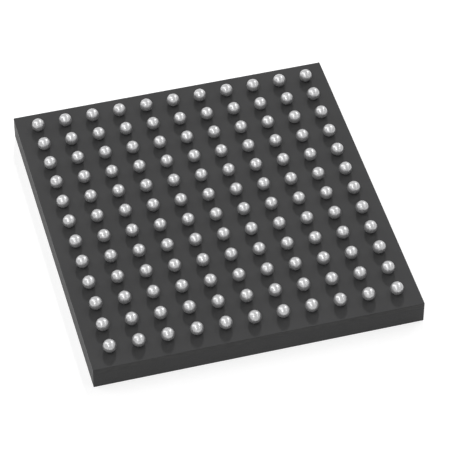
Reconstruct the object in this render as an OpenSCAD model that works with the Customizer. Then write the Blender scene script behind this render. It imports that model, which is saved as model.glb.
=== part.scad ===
// Ball grid array package: one die, wire-bonded on a two-layer laminate, overmoulded and sawn square.
// It lies on its moulded face with the balls up. Z = 0 is the moulded face, X runs along a row of
// balls, and row A is at the back (+Y) with ball A1 at the back right corner.

/* [Ball grid] */
// Number of balls in a row, along X
columns = 11; // [7:2:11]
// Number of rows, along Y
rows = 12; // [8:2:12]
// Distance from one ball's centre to the next, both ways
pitch = 1; // [0.95:0.01:1.27]
// Distance from the centres of the outer balls to the sawn sides
edge_margin = 0.75; // [0.6:0.01:1.2]
// Diameter of a solder ball
ball_d = 0.46; // [0.4:0.01:0.6]
// Diameter of the opening in the solder mask under each ball
mask_opening_d = 0.26; // [0.2:0.01:0.34]
// Width of the ring of mask around the opening that the ball rests on
ball_rim = 0.01; // [0.005:0.001:0.02]

/* [Moulding] */
// Thickness of the moulding compound, from the marked face to the laminate
mould_t = 0.59; // [0.5:0.01:0.9]
// Diameter of the dimple that marks corner A1
dimple_d = 1; // [0.6:0.1:1.4]
// Depth of the dimple
dimple_t = 0.05; // [0.03:0.01:0.08]
// Distance from the dimple's centre to the two sides beside it
dimple_inset = 1.2; // [1:0.1:2]

/* [Laminate] */
// Thickness of the laminate's core
core_t = 0.174; // [0.1:0.002:0.3]
// Thickness of each copper layer
copper_t = 0.018; // [0.012:0.001:0.035]
// Thickness of the solder mask over the copper
mask_t = 0.025; // [0.015:0.001:0.04]
// Diameter of a via
via_d = 0.12; // [0.08:0.01:0.16]
// Diameter of the copper land at each end of a via
land_d = 0.25; // [0.2:0.01:0.28]
// Distance, along X and along Y, from a ball's centre to its via
via_offset = 0.35; // [0.32:0.01:0.4]
// Width that the solder mask laps over the rim of a ball's pad
pad_lap = 0.06; // [0.04:0.01:0.08]
// Width of a copper trace
trace_w = 0.05; // [0.03:0.005:0.06]

/* [Bond fingers] */
// Length of a bond finger
finger_l = 0.3; // [0.2:0.01:0.4]
// Width of a bond finger
finger_w = 0.08; // [0.06:0.005:0.1]
// Distance from one bond finger to the next
finger_pitch = 0.15; // [0.13:0.005:0.16]
// Clearance between the fingers and the via lands inside them
land_gap = 0.08; // [0.06:0.01:0.12]
// Clearance between the fingers and the edge of the window in the solder mask
window_gap = 0.04; // [0.03:0.005:0.05]

/* [Die] */
// Thickness of the silicon die
die_t = 0.2; // [0.1:0.01:0.25]
// Thickness of the die attach film
attach_t = 0.03; // [0.02:0.005:0.05]
// Distance from the die's sides to the bond fingers
wire_reach = 0.62; // [0.5:0.01:0.8]
// Distance from the die's sides to the centres of its bond pads
pad_inset = 0.08; // [0.06:0.01:0.12]
// Distance from the die's corners to the first bond pad on each side
corner_keepout = 0.15; // [0.12:0.01:0.3]

/* [Bond wires] */
// Thickness of a bond wire
wire_d = 0.025; // [0.018:0.001:0.03]
// Height of a wire's loop over the die
wire_rise = 0.1; // [0.06:0.005:0.15]
// Length of the flat top of a wire's loop
wire_flat = 0.2; // [0.16:0.01:0.25]
// Length of the flattened end of a wire on its finger
stitch_l = 0.08; // [0.05:0.01:0.12]
// Diameter of the ball bond on the die
bond_d = 0.06; // [0.045:0.005:0.08]
// Thickness of the ball bond
bond_t = 0.015; // [0.01:0.001:0.02]

/* [Hidden] */
$fn = 48;

// Rows are lettered as on every such package, without I.
ROW_LETTERS = ["a", "b", "c", "d", "e", "f", "g", "h", "j", "k", "l", "m"];
SIDES = ["left", "right", "front", "back"];

function row_node(row) = str("ball_row_", ROW_LETTERS[row]);
function wires_node(side) = str("bond_wires_", side);
function fingers_node(side) = str("fan_out_", side);

// Outline of the package
body_w = (columns - 1) * pitch + 2 * edge_margin;
body_d = (rows - 1) * pitch + 2 * edge_margin;

// Heights of the faces between the layers, from the moulded face up
z_copper_die = mould_t + mask_t;
z_core = z_copper_die + copper_t;
z_core_top = z_core + core_t;
z_copper_ball = z_core_top + copper_t;
z_face = z_copper_ball + mask_t;

// The die hangs from the laminate, with its bond pads towards the moulded face.
z_die_back = mould_t - attach_t;
z_die_face = z_die_back - die_t;
z_loop = z_die_face - wire_rise;
z_stitch = z_copper_die - wire_d / 2;

// A ball is a sphere cut flat where it rests on the mask.
ball_seat_r = mask_opening_d / 2 + ball_rim;
ball_lift = sqrt(pow(ball_d / 2, 2) - pow(ball_seat_r, 2));
pad_d = mask_opening_d + 2 * pad_lap;

// Two rings of balls lie outside the bond fingers, and the rest lie inside them.
outer_rings = 2;
inner_columns = (columns - 1) / 2 - outer_rings;
inner_rows = (rows - 1) / 2 - outer_rings;

// The fingers stand just outside the vias of the inner balls.
inner_via = [inner_columns * pitch + via_offset, inner_rows * pitch + via_offset];
finger_out = [for (v = inner_via) v + land_d / 2 + land_gap + finger_l / 2];
die_size = [for (f = finger_out) 2 * (f - finger_l / 2 - wire_reach)];

// Lanes of a row's traces beside its vias, in finger pitches: by depth under the die, then outside it
inward_lanes = [-0.5, -1.5, 1.5, -2.5];
outward_lanes = [0.5, 2.5];
// Places of the corner fingers after the last via, in finger pitches, by column and row from the inside
corner_lanes = [[3, 1], [4, 2]];
// Where the outermost corner trace turns, from the via that it goes round
corner_elbow = [-0.25, 0.3];

function ball_x(column) = (column - (columns - 1) / 2) * pitch;
function ball_y(row) = ((rows - 1) / 2 - row) * pitch;
function sense(value) = value < 0 ? -1 : 1;
function outward(value) = value + sense(value) * via_offset;
function via_at(column, row) = [outward(ball_x(column)), outward(ball_y(row))];

// Rings outside the inner block, across and along: 1 and 2 are outside, 0 and less are in it
function columns_out(column) = abs(column - (columns - 1) / 2) - inner_columns;
function rows_out(row) = abs(row - (rows - 1) / 2) - inner_rows;

// Axis that a ball's net leaves the die along: 0 for the left and right sides, 1 for front and back
function net_axis(column, row) =
    let (across = columns_out(column), along = rows_out(row))
    across > 0 && along > 0 ? 1 : across > 0 ? 0 : along > 0 ? 1 : across >= along ? 0 : 1;

function net_side(column, row) =
    let (axis = net_axis(column, row))
    SIDES[2 * axis + (via_at(column, row)[axis] < 0 ? 0 : 1)];

function is_corner(column, row) = columns_out(column) > 0 && rows_out(row) > 0;

function lane(depth) = depth > 0 ? outward_lanes[depth - 1] : inward_lanes[-depth];

// Place of a net's finger along its side of the die
function finger_along(column, row) =
    let (axis = net_axis(column, row), via = via_at(column, row), along = via[1 - axis])
    is_corner(column, row)
        ? sense(along) * (inner_via[0]
            + corner_lanes[columns_out(column) - 1][rows_out(row) - 1] * finger_pitch)
        : along - sense(along) * finger_pitch
            * lane(axis == 0 ? columns_out(column) : rows_out(row));

// Turns [out, along] into a point on the axis's side of the package
function placed(axis, sign, point) =
    axis == 0 ? [sign * point[0], point[1]] : [point[1], sign * point[0]];

function finger_at(column, row) =
    let (axis = net_axis(column, row))
    placed(axis, sense(via_at(column, row)[axis]), [finger_out[axis], finger_along(column, row)]);

// Route of a net's trace from its finger to its via
function net_path(column, row) =
    let (axis = net_axis(column, row),
         via = via_at(column, row),
         sign = sense(via[axis]),
         along = finger_along(column, row),
         out = finger_out[axis],
         via_out = abs(via[axis]),
         side_step = abs(along - via[1 - axis]),
         elbows = is_corner(column, row)
            ? corner_elbows(column, row, along)
            : [[via_out + sense(out - via_out) * side_step, along]])
    [for (point = concat([[out, along]], elbows, [[via_out, via[1 - axis]]]))
        placed(axis, sign, point)];

// A corner trace leaves its finger straight, and the farthest one goes round the nearest via.
function corner_elbows(column, row, along) =
    let (exit = [finger_out[1] + finger_l / 2, along],
         around = [inner_via[1] + pitch + corner_elbow[1],
                   sense(along) * (inner_via[0] + pitch + corner_elbow[0])])
    columns_out(column) > 1 && rows_out(row) > 1 ? [exit, around] : [exit];

// Columns and rows of the balls that one side of the die serves
function side_nets(side) =
    [for (row = [0:rows - 1], column = [0:columns - 1])
        if (net_side(column, row) == side) [column, row]];

// Bond pads are spread evenly along the die's side, in the order of their fingers.
function bond_pad_at(net, nets) =
    let (axis = net_axis(net[0], net[1]),
         along = finger_along(net[0], net[1]),
         place = len([for (n = nets) if (finger_along(n[0], n[1]) < along) n]),
         half_row = die_size[1 - axis] / 2 - corner_keepout)
    placed(axis, sense(via_at(net[0], net[1])[axis]),
        [die_size[axis] / 2 - pad_inset, half_row * (2 * place / (len(nets) - 1) - 1)]);

// Outline of a flat strip of one width along a path, with square ends and mitred corners
function strip(path, width) =
    concat([for (i = [0:len(path) - 1]) path[i] + mitre(path, i, width)],
           [for (i = [len(path) - 1:-1:0]) path[i] - mitre(path, i, width)]);

function mitre(path, i, width) =
    let (before = leftwards(path, max(i - 1, 0)),
         after = leftwards(path, min(i, len(path) - 2)),
         middle = before + after)
    middle * width / (2 * middle * before);

function leftwards(path, i) =
    let (step = (path[i + 1] - path[i]) / norm(path[i + 1] - path[i]))
    [-step[1], step[0]];

// A slab over the whole outline, from one height to another
module layer(bottom, top) {
    translate([-body_w / 2, -body_d / 2, bottom]) cube([body_w, body_d, top - bottom]);
}

module mould_cap() {
    color("#3f3f40")
    difference() {
        union() {
            layer(0, mould_t);
            translate([0, 0, mould_t]) linear_extrude(z_core - mould_t) finger_window();
        }
        translate([body_w / 2 - dimple_inset, body_d / 2 - dimple_inset, -dimple_t])
            cylinder(d = dimple_d, h = 2 * dimple_t);
        die();
        die_attach();
        for (side = SIDES) {
            bond_wires(side);
            fan_out(side);
        }
    }
}

module die() {
    color("#7d8088")
    translate([-die_size[0] / 2, -die_size[1] / 2, z_die_face])
        cube([die_size[0], die_size[1], die_t]);
}

module die_attach() {
    color("#d8cfb4")
    translate([-die_size[0] / 2, -die_size[1] / 2, z_die_back])
        cube([die_size[0], die_size[1], attach_t]);
}

// Ball bond, loop and stitch of every wire on one side of the die
module bond_wires(side) {
    nets = side_nets(side);
    color("#e8c35a")
    for (net = nets) bond_wire(bond_pad_at(net, nets), finger_at(net[0], net[1]));
}

module bond_wire(pad, finger) {
    reach = finger - pad;
    span = norm(reach);
    loop = [[0, z_die_face - bond_t], [0, z_loop], [wire_flat, z_loop],
            [span - stitch_l / 2, z_stitch], [span + stitch_l / 2, z_stitch]];
    translate([pad[0], pad[1], z_die_face - bond_t]) cylinder(d = bond_d, h = bond_t);
    translate([pad[0], pad[1], 0])
        rotate([90, 0, atan2(reach[1], reach[0])])
            linear_extrude(wire_d, center = true) polygon(strip(loop, wire_d));
}

// Opening in the die-side solder mask around the bond fingers
module finger_window() {
    last_corner_finger = inner_via[0] + max(corner_lanes[1]) * finger_pitch + finger_w / 2;
    outer = [max(finger_out[0] + finger_l / 2, last_corner_finger) + window_gap,
             finger_out[1] + finger_l / 2 + window_gap];
    inner = [for (f = finger_out) f - finger_l / 2 - window_gap];
    difference() {
        square(2 * outer, center = true);
        square(2 * inner, center = true);
    }
}

module die_side_mask() {
    color("#2f4a3a")
    difference() {
        layer(mould_t, z_core);
        translate([0, 0, mould_t - mask_t]) linear_extrude(2 * (z_core - mould_t)) finger_window();
        for (side = SIDES) fan_out(side);
    }
}

// Bond fingers on one side of the die, each with its trace and via land
module fan_out(side) {
    color("#c9803f")
    for (net = side_nets(side)) translate([0, 0, z_copper_die]) fan_out_net(net[0], net[1]);
}

module fan_out_net(column, row) {
    finger = net_axis(column, row) == 0 ? [finger_l, finger_w] : [finger_w, finger_l];
    foil() translate(finger_at(column, row)) square(finger, center = true);
    foil() polygon(strip(net_path(column, row), trace_w));
    foil() translate(via_at(column, row)) circle(d = land_d);
}

// Gives a flat outline the thickness of a copper layer
module foil() {
    linear_extrude(copper_t) children();
}

module substrate_core() {
    color("#4a4a3c")
    difference() {
        layer(z_core, z_core_top);
        via_shafts(z_core - core_t / 2, 2 * core_t);
    }
}

module vias() {
    color("#c9803f") via_shafts(z_core, core_t);
}

module via_shafts(bottom, height) {
    for (row = [0:rows - 1], column = [0:columns - 1])
        translate(concat(via_at(column, row), bottom)) cylinder(d = via_d, h = height);
}

// Ball pads, each with a short trace to the land of its via
module ball_side_copper() {
    color("#c9803f")
    for (row = [0:rows - 1], column = [0:columns - 1])
        translate([0, 0, z_core_top]) ball_pad(column, row);
}

module ball_pad(column, row) {
    ball = [ball_x(column), ball_y(row)];
    foil() translate(ball) circle(d = pad_d);
    foil() polygon(strip([ball, via_at(column, row)], trace_w));
    foil() translate(via_at(column, row)) circle(d = land_d);
}

module ball_side_mask() {
    color("#484848")
    difference() {
        layer(z_core_top, z_face);
        ball_side_copper();
        mask_openings();
    }
}

// Openings of the ball-side mask, one over the middle of each ball's pad
module mask_openings() {
    for (row = [0:rows - 1], column = [0:columns - 1])
        translate([ball_x(column), ball_y(row), z_core_top])
            cylinder(d = mask_opening_d, h = 2 * (z_face - z_core_top));
}

module ball_row(row) {
    color("#d6d6d8")
    for (column = [0:columns - 1]) translate([ball_x(column), ball_y(row), z_face]) solder_ball();
}

// A solder ball with the neck that fills the mask's opening, down to the pad
module solder_ball() {
    difference() {
        translate([0, 0, ball_lift]) sphere(d = ball_d);
        translate([-ball_d, -ball_d, -ball_d]) cube([2 * ball_d, 2 * ball_d, ball_d]);
    }
    translate([0, 0, -mask_t]) cylinder(d = mask_opening_d, h = mask_t);
}

mould_cap();
die();
die_attach();
die_side_mask();
substrate_core();
vias();
ball_side_copper();
ball_side_mask();
for (side = SIDES) {
    bond_wires(side);
    fan_out(side);
}
for (row = [0:rows - 1])
    ball_row(row);
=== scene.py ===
"""Dresses the ball grid array package: its balls, its finishes, the studio and the camera."""

import logging
import math
from abc import ABC, abstractmethod
from collections.abc import Iterable
from dataclasses import dataclass, field
from enum import Enum

import bmesh
import bpy
from mathutils import Matrix, Vector


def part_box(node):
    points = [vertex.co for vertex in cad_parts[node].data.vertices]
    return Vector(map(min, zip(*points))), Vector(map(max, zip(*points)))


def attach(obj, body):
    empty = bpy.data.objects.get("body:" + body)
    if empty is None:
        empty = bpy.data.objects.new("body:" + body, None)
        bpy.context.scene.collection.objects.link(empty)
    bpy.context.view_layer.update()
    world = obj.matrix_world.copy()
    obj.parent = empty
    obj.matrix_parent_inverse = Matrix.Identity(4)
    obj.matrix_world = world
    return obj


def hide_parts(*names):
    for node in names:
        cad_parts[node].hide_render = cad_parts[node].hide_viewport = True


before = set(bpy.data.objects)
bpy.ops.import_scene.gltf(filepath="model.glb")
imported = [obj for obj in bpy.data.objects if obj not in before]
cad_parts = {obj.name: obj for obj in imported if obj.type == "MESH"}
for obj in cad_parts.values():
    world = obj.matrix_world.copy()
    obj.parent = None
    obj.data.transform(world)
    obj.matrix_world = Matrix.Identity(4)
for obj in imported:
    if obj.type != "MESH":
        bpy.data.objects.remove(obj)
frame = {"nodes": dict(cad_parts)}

LOG = logging.getLogger("package")
MM = 0.001
# How far apart heights on one flat face may be.
FLAT = 1e-4 * MM
# How near a corner has to be to a cut to be taken as lying on it.
CUT_REACH = 1e-5 * MM

Colour = tuple[float, float, float]
Band = tuple[float, float]
Triple = tuple[float, float, float]


class Slot(Enum):
    """The material slots that the part's record names."""

    MOULD = "moulding_compound"
    LAMINATE = "laminate"
    MASK = "solder_mask"
    SOLDER = "solder"
    COPPER = "copper"
    GOLD = "gold"
    SILICON = "silicon"
    FILM = "attach_film"


class Side(Enum):
    """The four sides of the die, which group its bond wires and its fan-out copper."""

    LEFT = "left"
    RIGHT = "right"
    FRONT = "front"
    BACK = "back"


# ---------------------------------------------------------------- finishes


class Shader:
    """One Principled material under construction, with its patterns on Object coordinates."""

    # A Mix node's sockets for the share and its two sides, and its result, by kind.
    COLOUR_SIDES = (0, 6, 7)
    COLOUR_RESULT = 2
    VALUE_SIDES = (0, 2, 3)
    VALUE_RESULT = 0
    # Where a face's slope turns it from an upright side into a flat face.
    SLOPE: Band = (0.4, 0.6)

    def __init__(self, name: str) -> None:
        """Starts the material.

        Args:
            name: The name that the material gets.
        """
        self.material: bpy.types.Material = bpy.data.materials.new(name)
        self.material.use_nodes = True
        self.nodes = self.material.node_tree.nodes
        self.links = self.material.node_tree.links
        self.surface: bpy.types.Node = self.nodes["Principled BSDF"]
        self.place = self.nodes.new("ShaderNodeTexCoord").outputs["Object"]

    def fix(self, **values: float) -> None:
        """Sets values that are the same all over on the surface's own sockets.

        Args:
            **values: Socket names, with _ for a space, and their values.
        """
        for name, value in values.items():
            self.surface.inputs[name.replace("_", " ")].default_value = value

    def feed(self, source: bpy.types.NodeSocket, target: str) -> None:
        """Links a pattern to one of the surface's sockets.

        Args:
            source: The pattern's output.
            target: The name of the surface's socket.
        """
        self.links.new(source, self.surface.inputs[target])

    def stretched(self, along: Triple) -> bpy.types.NodeSocket:
        """Gives Object coordinates drawn out along the axes.

        Args:
            along: How many times longer the pattern is along X, Y and Z.

        Returns:
            The output with the drawn-out coordinates.
        """
        mapping = self.nodes.new("ShaderNodeMapping")
        mapping.inputs["Scale"].default_value = tuple(1 / a for a in along)
        self.links.new(self.place, mapping.inputs["Vector"])
        return mapping.outputs["Vector"]

    def cloud(self, size: float, detail: float = 3.0,
              along: Triple = (1, 1, 1)) -> bpy.types.NodeSocket:
        """Adds a cloudy pattern.

        Args:
            size: The size of its features in millimetres.
            detail: How many finer layers it has.
            along: How many times longer it is along X, Y and Z.

        Returns:
            The pattern's output, from 0 to 1.
        """
        noise = self.nodes.new("ShaderNodeTexNoise")
        noise.inputs["Scale"].default_value = 1 / (size * MM)
        noise.inputs["Detail"].default_value = detail
        self.links.new(self.stretched(along), noise.inputs["Vector"])
        return noise.outputs["Fac"]

    def grains(self, size: float, along: Triple = (1, 1, 1)) -> bpy.types.NodeSocket:
        """Adds a pattern of packed grains.

        Args:
            size: The size of a grain in millimetres.
            along: How many times longer a grain is along X, Y and Z.

        Returns:
            The distance from the middle of each grain, from 0 to about 1.
        """
        cells = self.nodes.new("ShaderNodeTexVoronoi")
        cells.inputs["Scale"].default_value = 1 / (size * MM)
        self.links.new(self.stretched(along), cells.inputs["Vector"])
        return cells.outputs["Distance"]

    def spread(self, pattern: bpy.types.NodeSocket, low: float, high: float,
               start: float = 0.3, end: float = 0.7) -> bpy.types.NodeSocket:
        """Spreads a pattern over a range of values.

        Args:
            pattern: The pattern's output.
            low: The value where the pattern is at start.
            high: The value where the pattern is at end.
            start: The pattern's value that gives low.
            end: The pattern's value that gives high.

        Returns:
            The output with the new values.
        """
        node = self.nodes.new("ShaderNodeMapRange")
        limits = {"From Min": start, "From Max": end, "To Min": low, "To Max": high}
        for name, value in limits.items():
            node.inputs[name].default_value = value
        self.links.new(pattern, node.inputs["Value"])
        return node.outputs["Result"]

    def tint(self, pattern: bpy.types.NodeSocket, dark: Colour, light: Colour,
             start: float = 0.3, end: float = 0.7) -> bpy.types.NodeSocket:
        """Turns a pattern into a colour between two tones.

        Args:
            pattern: The pattern's output.
            dark: The colour where the pattern is at start.
            light: The colour where the pattern is at end.
            start: The pattern's value that gives the dark tone.
            end: The pattern's value that gives the light tone.

        Returns:
            The colour output.
        """
        ramp = self.nodes.new("ShaderNodeValToRGB")
        for stop, colour, place in zip(ramp.color_ramp.elements, (dark, light), (start, end)):
            stop.position = place
            stop.color = (*colour, 1)
        self.links.new(pattern, ramp.inputs["Fac"])
        return ramp.outputs["Color"]

    def blend(self, share: bpy.types.NodeSocket, first: bpy.types.NodeSocket,
              second: bpy.types.NodeSocket) -> bpy.types.NodeSocket:
        """Mixes two colours by a pattern.

        Args:
            share: How much of the second colour shows, from 0 to 1.
            first: The colour where share is 0.
            second: The colour where share is 1.

        Returns:
            The mixed colour.
        """
        mix = self.nodes.new("ShaderNodeMix")
        mix.data_type = "RGBA"
        for source, target in zip((share, first, second), self.COLOUR_SIDES):
            self.links.new(source, mix.inputs[target])
        return mix.outputs[self.COLOUR_RESULT]

    def upward(self) -> bpy.types.NodeSocket:
        """Tells the flat faces of a layer from its sawn sides.

        Returns:
            An output that is 1 on faces that look up or down, and 0 on upright sides.
        """
        facing = self.nodes.new("ShaderNodeSeparateXYZ")
        normal = self.nodes.new("ShaderNodeNewGeometry").outputs["Normal"]
        self.links.new(normal, facing.inputs["Vector"])
        flat = self.nodes.new("ShaderNodeMath")
        flat.operation = "ABSOLUTE"
        self.links.new(facing.outputs["Z"], flat.inputs[0])
        return self.spread(flat.outputs[0], 0, 1, *self.SLOPE)

    def choose(self, share: bpy.types.NodeSocket, first: bpy.types.NodeSocket,
               second: bpy.types.NodeSocket) -> bpy.types.NodeSocket:
        """Mixes two patterns of values by a third.

        Args:
            share: How much of the second shows, from 0 to 1.
            first: The values where share is 0.
            second: The values where share is 1.

        Returns:
            The mixed values.
        """
        mix = self.nodes.new("ShaderNodeMix")
        for source, target in zip((share, first, second), self.VALUE_SIDES):
            self.links.new(source, mix.inputs[target])
        return mix.outputs[self.VALUE_RESULT]

    def relief(self, pattern: bpy.types.NodeSocket, depth: float,
               over: bpy.types.NodeSocket | None = None) -> bpy.types.NodeSocket:
        """Raises a pattern from the surface.

        Args:
            pattern: The pattern's output.
            depth: The height of the relief in millimetres.
            over: The relief that this one lies on, if there is one.

        Returns:
            The normal output.
        """
        bump = self.nodes.new("ShaderNodeBump")
        bump.inputs["Distance"].default_value = depth * MM
        self.links.new(pattern, bump.inputs["Height"])
        if over is not None:
            self.links.new(over, bump.inputs["Normal"])
        return bump.outputs["Normal"]


@dataclass(frozen=True)
class Finish(ABC):
    """A finish of the package: what a surface is made of and how it was left."""

    name: str

    @abstractmethod
    def shade(self, shader: Shader) -> None:
        """Fills in the material's nodes.

        Args:
            shader: The material under construction.
        """

    def material(self) -> bpy.types.Material:
        """Makes the material, once.

        Returns:
            The finished material.
        """
        dressed = f"dressed_{self.name}"
        made = bpy.data.materials.get(dressed)
        if made is None:
            shader = Shader(dressed)
            self.shade(shader)
            made = shader.material
        return made


@dataclass(frozen=True)
class MouldingCompound(Finish):
    """Black epoxy packed with fine silica, matt as it leaves the mould and as it is sawn."""

    name: str = "moulding_compound"
    resin: Colour = (0.021, 0.021, 0.0213)
    filler: Colour = (0.034, 0.034, 0.0345)
    grain_size: float = 0.03
    grain_depth: float = 0.0012
    grain_rim: Band = (0.05, 0.8)
    mottle_size: float = 0.9
    mottle_depth: float = 0.004
    mottle_rim: Band = (0.2, 0.8)
    mottle_share: Band = (0.25, 0.45)
    sheen_size: float = 0.05
    roughness: Band = (0.52, 0.66)
    refraction: float = 1.36

    def shade(self, shader: Shader) -> None:
        """Gives the compound its grain of filler and a broad, faint mottle."""
        grain = shader.grains(self.grain_size)
        mottle = shader.cloud(self.mottle_size)
        fine = shader.tint(grain, self.filler, self.resin, *self.grain_rim)
        broad = shader.tint(mottle, self.resin, self.filler, *self.mottle_rim)
        share = shader.spread(mottle, *self.mottle_share)
        swell = shader.relief(mottle, self.mottle_depth)
        shader.feed(shader.blend(share, fine, broad), "Base Color")
        shader.feed(shader.spread(shader.cloud(self.sheen_size), *self.roughness), "Roughness")
        shader.feed(shader.relief(grain, self.grain_depth, swell), "Normal")
        shader.fix(IOR=self.refraction)


@dataclass(frozen=True)
class SolderMaskFilm(Finish):
    """Black solder mask, a thin satin film with a faint orange peel and matt sawn sides."""

    name: str = "solder_mask"
    deep: Colour = (0.043, 0.043, 0.0436)
    pale: Colour = (0.049, 0.049, 0.0496)
    sawn: Colour = (0.046, 0.046, 0.0466)
    saw_shade: float = 0.8
    peel_size: float = 0.12
    peel_depth: float = 0.0012
    drift_size: float = 2.2
    drift_rim: Band = (0.25, 0.75)
    saw_size: float = 0.02
    detail: float = 2.0
    face_roughness: Band = (0.38, 0.46)
    sawn_roughness: Band = (0.52, 0.62)
    refraction: float = 1.20

    def shade(self, shader: Shader) -> None:
        """Gives the film its orange peel and a slow change of tone, and its sides a dull tone."""
        peel = shader.cloud(self.peel_size, self.detail)
        drift = shader.cloud(self.drift_size, self.detail)
        saw = shader.cloud(self.saw_size, self.detail)
        face = shader.upward()
        film = shader.tint(drift, self.deep, self.pale, *self.drift_rim)
        side = shader.tint(saw, tuple(self.saw_shade * c for c in self.sawn), self.sawn)
        dull = shader.spread(saw, *self.sawn_roughness)
        satin = shader.spread(peel, *self.face_roughness)
        shader.feed(shader.blend(face, side, film), "Base Color")
        shader.feed(shader.choose(face, dull, satin), "Roughness")
        shader.feed(shader.relief(peel, self.peel_depth), "Normal")
        shader.fix(IOR=self.refraction)


@dataclass(frozen=True)
class LaminateEdge(Finish):
    """Black laminate with the ends of its glass bundles showing where it is sawn."""

    name: str = "laminate"
    resin: Colour = (0.0205, 0.0205, 0.0208)
    glass: Colour = (0.031, 0.031, 0.0306)

    bundle_size: float = 0.05
    bundle_run: Triple = (6, 6, 1)
    bundle_detail: float = 2.0
    saw_size: float = 0.012
    saw_run: Triple = (10, 10, 1)
    saw_detail: float = 1.0
    saw_depth: float = 0.0008
    roughness: Band = (0.62, 0.52)
    refraction: float = 1.36

    def shade(self, shader: Shader) -> None:
        """Gives the sawn edge its layered glass bundles and saw lines."""
        bundles = shader.cloud(self.bundle_size, self.bundle_detail, self.bundle_run)
        saw = shader.cloud(self.saw_size, self.saw_detail, self.saw_run)
        shader.feed(shader.tint(bundles, self.resin, self.glass), "Base Color")
        shader.feed(shader.spread(bundles, *self.roughness), "Roughness")
        shader.feed(shader.relief(saw, self.saw_depth), "Normal")
        shader.fix(IOR=self.refraction)


@dataclass(frozen=True)
class ReflowedSolder(Finish):
    """Lead-free solder as it sets after reflow: bright, with a satin of fine crystals."""

    name: str = "solder"
    bright: Colour = (0.50, 0.50, 0.505)
    dull: Colour = (0.46, 0.46, 0.465)
    crystal_size: float = 0.035
    crystal_run: Triple = (1, 1, 1.6)
    crystal_depth: float = 0.0008
    sheen_size: float = 0.15
    roughness: Band = (0.32, 0.28)
    metal: float = 0.68

    def shade(self, shader: Shader) -> None:
        """Gives the metal its fine crystals and slight changes of sheen."""
        crystals = shader.grains(self.crystal_size, self.crystal_run)
        sheen = shader.cloud(self.sheen_size)
        shader.feed(shader.tint(sheen, self.dull, self.bright), "Base Color")
        shader.feed(shader.spread(sheen, *self.roughness), "Roughness")
        shader.feed(shader.relief(crystals, self.crystal_depth), "Normal")
        shader.fix(Metallic=self.metal)


@dataclass(frozen=True)
class PlatedMetal(Finish):
    """A plated metal with a fine, brushed-looking grain."""

    name: str = "copper"
    bright: Colour = (0.78, 0.40, 0.24)
    dull: Colour = (0.62, 0.29, 0.16)
    roughness: Band = (0.25, 0.4)
    grain_size: float = 0.02
    grain_depth: float = 0.0003
    patch_size: float = 0.4
    metal: float = 1.0

    def shade(self, shader: Shader) -> None:
        """Gives the metal its grain and its patches of duller tone."""
        grain = shader.cloud(self.grain_size)
        patches = shader.cloud(self.patch_size)
        shader.feed(shader.tint(patches, self.dull, self.bright), "Base Color")
        shader.feed(shader.spread(grain, *self.roughness), "Roughness")
        shader.feed(shader.relief(grain, self.grain_depth), "Normal")
        shader.fix(Metallic=self.metal)


@dataclass(frozen=True)
class Silicon(Finish):
    """A silicon die, polished above and ground to a fine lay below."""

    name: str = "silicon"
    deep: Colour = (0.16, 0.17, 0.20)
    pale: Colour = (0.24, 0.25, 0.28)

    lay_size: float = 0.01
    lay_run: Triple = (60, 1, 1)
    lay_detail: float = 2.0
    lay_depth: float = 0.0001
    drift_size: float = 1.5
    roughness: Band = (0.18, 0.28)
    metal: float = 0.4

    def shade(self, shader: Shader) -> None:
        """Gives the die its straight grinding lay and a slow change of tone."""
        lay = shader.cloud(self.lay_size, self.lay_detail, self.lay_run)
        drift = shader.cloud(self.drift_size)
        shader.feed(shader.tint(drift, self.deep, self.pale), "Base Color")
        shader.feed(shader.spread(lay, *self.roughness), "Roughness")
        shader.feed(shader.relief(lay, self.lay_depth), "Normal")
        shader.fix(Metallic=self.metal)


@dataclass(frozen=True)
class AttachFilm(Finish):
    """The die attach film, a pale matt adhesive."""

    name: str = "attach_film"
    deep: Colour = (0.52, 0.46, 0.33)
    pale: Colour = (0.66, 0.61, 0.48)

    cloud_size: float = 0.4
    grain_size: float = 0.03
    grain_depth: float = 0.001
    roughness: Band = (0.6, 0.75)

    def shade(self, shader: Shader) -> None:
        """Gives the film its uneven, slightly cloudy tone."""
        cloud = shader.cloud(self.cloud_size)
        grain = shader.cloud(self.grain_size)
        shader.feed(shader.tint(cloud, self.deep, self.pale), "Base Color")
        shader.feed(shader.spread(cloud, *self.roughness), "Roughness")
        shader.feed(shader.relief(grain, self.grain_depth), "Normal")


FINISHES: dict[Slot, Finish] = {
    Slot.MOULD: MouldingCompound(),
    Slot.LAMINATE: LaminateEdge(),
    Slot.MASK: SolderMaskFilm(),
    Slot.SOLDER: ReflowedSolder(),
    Slot.COPPER: PlatedMetal(),
    Slot.GOLD: PlatedMetal(name="gold", bright=(0.90, 0.66, 0.29), dull=(0.80, 0.55, 0.20),
                           roughness=(0.17, 0.32), grain_size=0.01, patch_size=0.2),
    Slot.SILICON: Silicon(),
    Slot.FILM: AttachFilm(),
}


# ---------------------------------------------------------------- the package


def take_up(*pieces: bpy.types.Object) -> None:
    """Selects these pieces alone, and makes the first one active.

    Args:
        *pieces: The pieces to select.
    """
    bpy.ops.object.select_all(action="DESELECT")
    for piece in pieces:
        piece.select_set(True)
    bpy.context.view_layer.objects.active = pieces[0]


def dress(piece: bpy.types.Object, slot: Slot) -> None:
    """Gives a piece the finish of a slot, in each of its material slots.

    Args:
        piece: The CAD node or the modelled piece.
        slot: The slot of the finish.
    """
    finish = FINISHES[slot].material()
    if not piece.material_slots:
        piece.data.materials.append(finish)
    for place in piece.material_slots:
        place.material = finish


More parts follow.
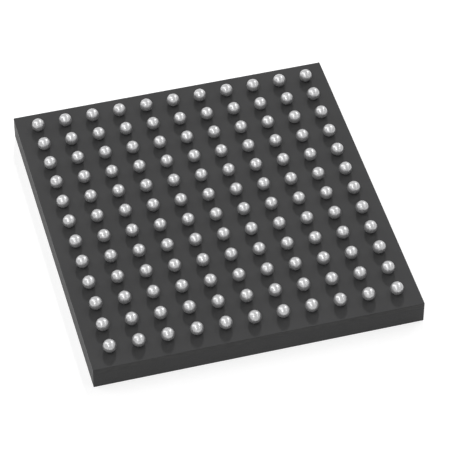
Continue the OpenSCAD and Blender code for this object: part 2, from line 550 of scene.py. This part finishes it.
@dataclass
class Substrate:
    """The laminate with its two masks, its copper and its vias."""

    core: str = "substrate_core"
    masks: tuple[str, ...] = ("ball_side_mask", "die_side_mask")
    copper: tuple[str, ...] = ("vias", "ball_side_copper")

    def finish(self, nodes: dict[str, bpy.types.Object]) -> None:
        """Dresses the substrate's solids.

        Args:
            nodes: The CAD nodes by name.
        """
        dress(nodes[self.core], Slot.LAMINATE)
        for name in self.masks:
            dress(nodes[name], Slot.MASK)
        for name in (*self.copper, *(f"fan_out_{side.value}" for side in Side)):
            dress(nodes[name], Slot.COPPER)
        LOG.info("substrate: dressed with laminate, mask and copper")


@dataclass
class Encapsulation:
    """The moulded block and what it seals in: the die, its film and its bond wires."""

    block: str = "mould_cap"
    die: str = "die"
    film: str = "die_attach"

    def finish(self, nodes: dict[str, bpy.types.Object]) -> None:
        """Dresses the block and the pieces inside it.

        Args:
            nodes: The CAD nodes by name.
        """
        dress(nodes[self.block], Slot.MOULD)
        dress(nodes[self.die], Slot.SILICON)
        dress(nodes[self.film], Slot.FILM)
        for side in Side:
            dress(nodes[f"bond_wires_{side.value}"], Slot.GOLD)
        LOG.info("encapsulation: dressed with compound, silicon, film and gold")


@dataclass
class SolderBall:
    """One reflowed ball: a sphere that sits on the mask, with a neck down to its pad."""

    diameter: float = 0.46 * MM
    foot_radius: float = 0.14 * MM
    neck_radius: float = 0.13 * MM
    neck_length: float = 0.025 * MM
    sectors: int = 24
    bands: int = 15
    smooth_below: float = math.radians(30)

    @property
    def drop(self) -> float:
        """The height of the ball's centre over its foot."""
        return math.sqrt((self.diameter / 2) ** 2 - self.foot_radius ** 2)

    def model(self, centre: Vector) -> bpy.types.Object:
        """Models the ball at its place.

        Args:
            centre: The centre of the ball's sphere.

        Returns:
            The ball as an object at the origin.
        """
        foot = centre.z - self.drop
        bpy.ops.object.select_all(action="DESELECT")
        bpy.ops.mesh.primitive_uv_sphere_add(
            segments=self.sectors, ring_count=self.bands, radius=self.diameter / 2, location=centre)
        ball = bpy.context.object
        bpy.ops.object.transform_apply(location=True, rotation=True, scale=True)
        bpy.ops.object.mode_set(mode="EDIT")
        bpy.ops.mesh.select_all(action="SELECT")
        bpy.ops.mesh.bisect(plane_co=(centre.x, centre.y, foot), plane_no=(0, 0, 1),
                            use_fill=True, clear_inner=True, threshold=CUT_REACH)
        self.pick_foot(ball, foot)
        shrink = self.neck_radius / self.foot_radius
        bpy.ops.mesh.extrude_region_move()
        bpy.ops.transform.resize(
            value=(shrink, shrink, 1), center_override=(centre.x, centre.y, foot))
        bpy.ops.mesh.extrude_region_move(
            TRANSFORM_OT_translate={"value": (0, 0, -self.neck_length)})
        bpy.ops.mesh.poke()
        bpy.ops.mesh.select_all(action="SELECT")
        bpy.ops.mesh.normals_make_consistent(inside=False)
        bpy.ops.object.mode_set(mode="OBJECT")
        bpy.ops.object.shade_smooth_by_angle(angle=self.smooth_below)
        return ball

    def pick_foot(self, ball: bpy.types.Object, foot: float) -> None:
        """Selects the flat face that the cut left.

        Args:
            ball: The ball, in edit mode.
            foot: The height of the cut.
        """
        bpy.ops.mesh.select_mode(type="FACE")
        bpy.ops.mesh.select_all(action="DESELECT")
        mesh = bmesh.from_edit_mesh(ball.data)
        for face in mesh.faces:
            flat = all(abs(corner.co.z - foot) < FLAT for corner in face.verts)
            face.select_set(flat)
        bmesh.update_edit_mesh(ball.data)


@dataclass
class BallGrid:
    """The full matrix of balls, lettered by row, each row a piece of its own."""

    rows: str = "abcdefghjklm"
    columns: int = 11
    ball: SolderBall = field(default_factory=SolderBall)

    def centre_of(self, node: str, column: int) -> Vector:
        """Finds where a ball of a row is centred.

        Args:
            node: The row's CAD node.
            column: The ball's place in the row, from 0.

        Returns:
            The centre of the ball's sphere.
        """
        low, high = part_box(node)
        reach = self.ball.diameter / 2
        first, last = low.x + reach, high.x - reach
        along = first + (last - first) * column / (self.columns - 1)
        return Vector((along, (low.y + high.y) / 2, low.z + self.ball.neck_length + self.ball.drop))

    def copy_to(self, pattern: bpy.types.Object, origin: Vector,
                place: Vector) -> bpy.types.Object:
        """Copies the modelled ball to another place, with a mesh of its own.

        Args:
            pattern: The modelled ball.
            origin: The centre of the modelled ball.
            place: The centre of the copy.

        Returns:
            The copy.
        """
        twin = pattern.copy()
        twin.data = pattern.data.copy()
        twin.data.transform(Matrix.Translation(place - origin))
        bpy.context.scene.collection.objects.link(twin)
        return twin

    def build(self) -> list[bpy.types.Object]:
        """Models each row, and puts it in the place of its CAD node.

        Returns:
            The rows.
        """
        origin = self.centre_of(f"ball_row_{self.rows[0]}", 0)
        pattern = self.ball.model(origin)
        made: list[bpy.types.Object] = []
        for letter in self.rows:
            node = f"ball_row_{letter}"
            twins = [self.copy_to(pattern, origin, self.centre_of(node, column))
                     for column in range(self.columns)]
            take_up(*twins)
            bpy.ops.object.join()
            row = bpy.context.object
            row.name = row.data.name = f"solder_balls_{letter}"
            dress(row, Slot.SOLDER)
            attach(row, "root")
            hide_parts(node)
            made.append(row)
            LOG.info("%s: %d balls, %d faces", row.name, self.columns, len(row.data.polygons))
        bpy.data.objects.remove(pattern)
        return made


# ---------------------------------------------------------------- the studio


def heading(azimuth: float, elevation: float) -> Vector:
    """Gives the direction from the package towards a lamp or the camera.

    Args:
        azimuth: The angle round from the back towards the right, in degrees.
        elevation: The angle over the floor, in degrees.

    Returns:
        The direction, one long.
    """
    across, up = math.radians(azimuth), math.radians(elevation)
    return Vector((math.sin(across) * math.cos(up), math.cos(across) * math.cos(up), math.sin(up)))


@dataclass
class Softbox:
    """A soft lamp, aimed at the package from a distance.

    Its angles are as heading has them, its sizes are in metres, and turn rolls it about its aim.
    """

    name: str
    azimuth: float
    elevation: float
    width: float
    height: float
    radiance: float
    turn: float = 0.0
    distance: float = 0.4
    mirrored: bool = True

    def build(self) -> bpy.types.Object:
        """Hangs the lamp at its place.

        Returns:
            The lamp.
        """
        lamp = bpy.data.lights.new(self.name, "AREA")
        lamp.shape = "RECTANGLE"
        lamp.size, lamp.size_y = self.width, self.height
        lamp.energy = self.radiance * math.pi * self.width * self.height
        holder = bpy.data.objects.new(self.name, lamp)
        bpy.context.scene.collection.objects.link(holder)
        away = heading(self.azimuth, self.elevation)
        aim = away.to_track_quat("Z", "Y").to_matrix().to_4x4()
        holder.matrix_world = (Matrix.Translation(away * self.distance) @ aim
                               @ Matrix.Rotation(math.radians(self.turn), 4, "Z"))
        holder.visible_camera = False
        holder.visible_glossy = self.mirrored
        return holder


@dataclass
class Studio:
    """A plain pale floor, an even white room and soft lamps on both sides."""

    floor_size: float = 3.0
    floor_drop: float = 2e-6
    room_level: float = 0.12
    paper: Colour = (0.50, 0.50, 0.50)
    paper_glow: float = 0.66
    paper_roughness: float = 0.9
    fibre_size: float = 8.0
    fibre_shade: float = 0.99
    lamps: tuple[Softbox, ...] = (
        Softbox("left_back_strip", azimuth=-60.6, elevation=49.5,
                width=0.150, height=0.560, radiance=2.1, turn=-23),
        Softbox("left_front_strip", azimuth=-136.4, elevation=47.4,
                width=0.066, height=0.320, radiance=5.6, turn=46),
        Softbox("right_box", azimuth=59.2, elevation=42.7,
                width=0.205, height=0.115, radiance=4.7, turn=-28),
        Softbox("right_strip", azimuth=118, elevation=44.3,
                width=0.340, height=0.052, radiance=2.7, turn=43.5),
        Softbox("back_fill", azimuth=15, elevation=33,
                width=0.035, height=0.035, radiance=325, mirrored=False),
        Softbox("front_fill", azimuth=-148, elevation=10,
                width=0.250, height=0.150, radiance=5.2, mirrored=False),
    )

    def seen_rays(self, tree: bpy.types.NodeTree) -> bpy.types.NodeSocket:
        """Tells the rays that see the white ground from the rays that light the package.

        Args:
            tree: The node tree of the floor's material or of the world.

        Returns:
            An output that is 1 for camera, glossy and transmission rays, and 0 for the rest.
        """
        path = tree.nodes.new("ShaderNodeLightPath")
        seen = path.outputs["Is Camera Ray"]
        for name in ("Is Glossy Ray", "Is Transmission Ray"):
            either = tree.nodes.new("ShaderNodeMath")
            either.operation = "MAXIMUM"
            tree.links.new(seen, either.inputs[0])
            tree.links.new(path.outputs[name], either.inputs[1])
            seen = either.outputs[0]
        return seen

    def light_room(self) -> None:
        """Makes the world white to the eye and gives it the room's level as light."""
        world = bpy.data.worlds.new("room")
        world.use_nodes = True
        tree = world.node_tree
        sky = tree.nodes["Background"]
        sky.inputs["Color"].default_value = (1, 1, 1, 1)
        level = tree.nodes.new("ShaderNodeMapRange")
        level.inputs["To Min"].default_value = self.room_level
        level.inputs["To Max"].default_value = 1.0
        tree.links.new(self.seen_rays(tree), level.inputs["Value"])
        tree.links.new(level.outputs["Result"], sky.inputs["Strength"])
        bpy.context.scene.world = world

    def lay_floor(self) -> bpy.types.Object:
        """Lays the floor, white paper that keeps the package's shadow.

        Returns:
            The floor.
        """
        bpy.ops.object.select_all(action="DESELECT")
        bpy.ops.mesh.primitive_plane_add(size=self.floor_size, location=(0, 0, -self.floor_drop))
        floor = bpy.context.object
        floor.name = "floor"
        bpy.ops.object.transform_apply(location=True, rotation=True, scale=True)
        shader = Shader("paper")
        fibres = shader.cloud(self.fibre_size)
        shade = tuple(self.fibre_shade * c for c in self.paper)
        shader.feed(shader.tint(fibres, shade, self.paper), "Base Color")
        shader.fix(Roughness=self.paper_roughness)
        tree = shader.material.node_tree
        glow = shader.nodes.new("ShaderNodeEmission")
        share = shader.spread(self.seen_rays(tree), 0.0, self.paper_glow, 0.0, 1.0)
        shader.links.new(share, glow.inputs["Strength"])
        both = shader.nodes.new("ShaderNodeAddShader")
        shader.links.new(shader.surface.outputs["BSDF"], both.inputs[0])
        shader.links.new(glow.outputs["Emission"], both.inputs[1])
        shader.links.new(both.outputs["Shader"], shader.nodes["Material Output"].inputs["Surface"])
        floor.data.materials.append(shader.material)
        return floor

    def build(self) -> None:
        """Sets up the room, the floor and the lamps."""
        self.light_room()
        self.lay_floor()
        for lamp in self.lamps:
            lamp.build()
        bpy.context.scene.view_settings.view_transform = "Standard"
        LOG.info("studio: white room, floor and %d lamps", len(self.lamps))


@dataclass
class ProductCamera:
    """The camera, a long lens close to the package."""

    aim: Triple = (0.208 * MM, -0.926 * MM, 0.85 * MM)
    azimuth: float = -164.85
    elevation: float = 45.71
    distance: float = 94.6 * MM
    lens: float = 218.1
    sensor: float = 36.0
    reach: Band = (0.001, 10.0)

    def build(self) -> bpy.types.Object:
        """Places the camera and makes it the scene's.

        Returns:
            The camera.
        """
        data = bpy.data.cameras.new("camera")
        data.lens, data.sensor_width = self.lens, self.sensor
        data.clip_start, data.clip_end = self.reach
        camera = bpy.data.objects.new("camera", data)
        bpy.context.scene.collection.objects.link(camera)
        away = heading(self.azimuth, self.elevation)
        camera.location = Vector(self.aim) + away * self.distance
        camera.rotation_euler = away.to_track_quat("Z", "Y").to_euler()
        bpy.context.scene.camera = camera
        return camera


def main() -> None:
    """Builds the camera, the package and the studio in order."""
    logging.basicConfig(level=logging.INFO, format="%(name)s: %(message)s")
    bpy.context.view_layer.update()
    nodes = frame["nodes"]
    ProductCamera().build()
    Encapsulation().finish(nodes)
    Substrate().finish(nodes)
    BallGrid().build()
    Studio().build()


if __name__ == "__main__":
    main()
